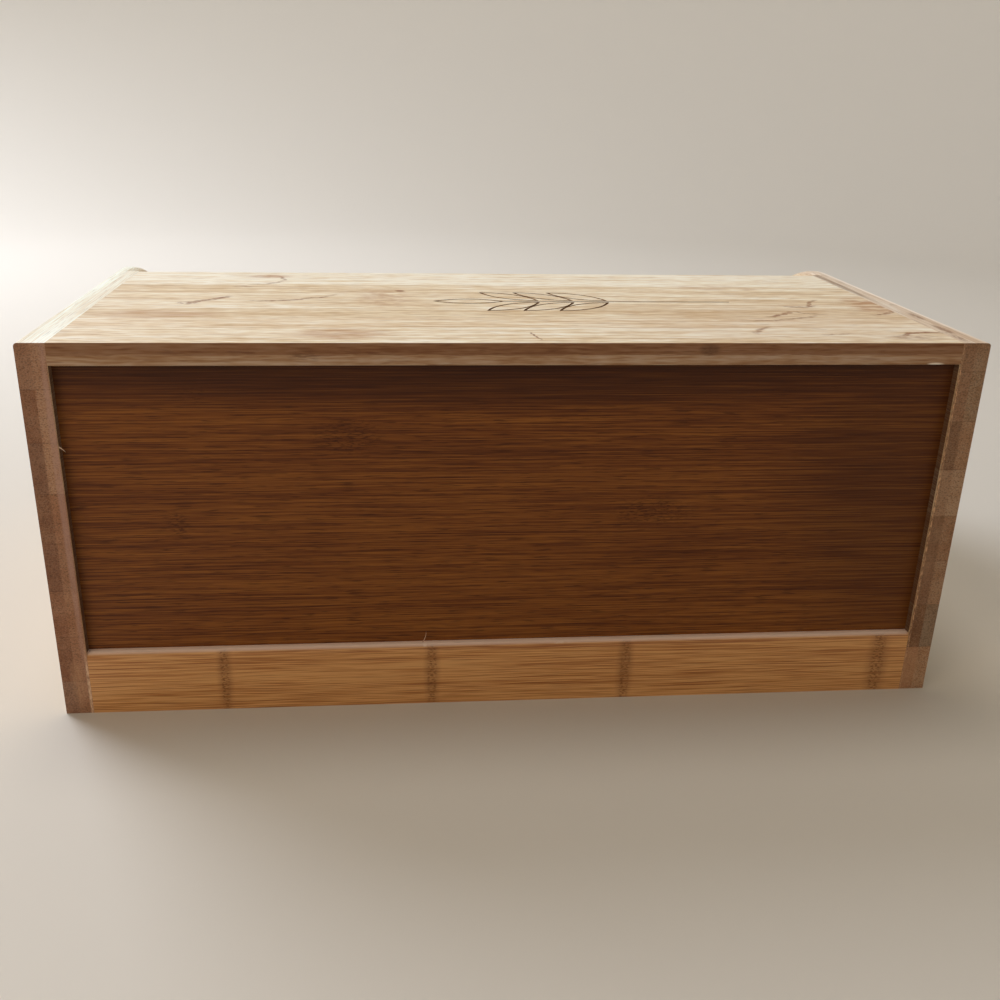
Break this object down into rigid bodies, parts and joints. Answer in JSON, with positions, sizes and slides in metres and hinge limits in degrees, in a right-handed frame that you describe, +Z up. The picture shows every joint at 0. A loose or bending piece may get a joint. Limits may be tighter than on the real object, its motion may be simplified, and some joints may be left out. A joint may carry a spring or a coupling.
{
  "type": "bread box",
  "caption": "Rectangular bamboo bread box with a slatted roll-top front that runs back under the lid board, and a shallow drawer under its floor.",
  "frame": {"origin": "centre of the bounding box on the surface that the box stands on, midway between the rear faces and the drawer knob's tip", "axes": "+X to the right as seen from the front, +Y to the back, +Z up; the roll-top and the drawer face -Y"},
  "size_m": [0.4, 0.298, 0.1684],
  "materials": {
    "bamboo_top": "light bamboo strips, satin, with a burnt engraving",
    "bamboo_side": "two-layer light bamboo board, satin",
    "bamboo_rail": "bamboo with darker node marks, satin",
    "dark_ply": "thin dark carbonised bamboo ply, satin",
    "bamboo_inner": "plain bamboo, lightly oiled",
    "bamboo_slat": "light bamboo slats, satin",
    "drawer_face": "light bamboo, satin",
    "drawer_ply": "thin bamboo ply",
    "knob_wood": "turned wood, satin",
    "dowel_wood": "raw beech",
    "canvas": "plain cotton canvas",
    "screw_steel": "zinc-plated steel"
  },
  "bodies": {
    "carcass": {"side_left": "bamboo_side", "side_right": "bamboo_side", "top_panel": "bamboo_top", "back_panel": "dark_ply", "rear_rail": "bamboo_rail", "floor_panel": "bamboo_inner", "runner_left": "bamboo_inner", "runner_right": "bamboo_inner", "top_dowels": "dowel_wood", "rail_dowels": "dowel_wood"},
    "roll_top": {"lead_slat": "bamboo_slat", "slat_01": "bamboo_slat", "slat_02": "bamboo_slat", "slat_03": "bamboo_slat", "slat_04": "bamboo_slat", "slat_05": "bamboo_slat", "slat_06": "bamboo_slat", "slat_07": "bamboo_slat", "slat_08": "bamboo_slat", "slat_09": "bamboo_slat", "slat_10": "bamboo_slat", "slat_11": "bamboo_slat", "slat_12": "bamboo_slat", "slat_13": "bamboo_slat", "canvas_backing": "canvas", "roll_top_knob": "knob_wood", "roll_top_screw": "screw_steel"},
    "drawer": {"drawer_front": "drawer_face", "drawer_side_left": "bamboo_inner", "drawer_side_right": "bamboo_inner", "drawer_back": "bamboo_inner", "drawer_bottom_panel": "drawer_ply", "drawer_dowels": "dowel_wood", "drawer_knob": "knob_wood", "drawer_screw": "screw_steel"}
  },
  "joints": [
    {"name": "roll_top_turn", "type": "hinge", "parent": "carcass", "child": "roll_top", "pos_m": [0, -0.005, 0.042], "axis": [-1, 0, 0], "range_deg": [0, 72]},
    {"name": "drawer_slide", "type": "slide", "parent": "carcass", "child": "drawer", "axis": [0, -1, 0], "range_m": [0, 0.2]}
  ]
}
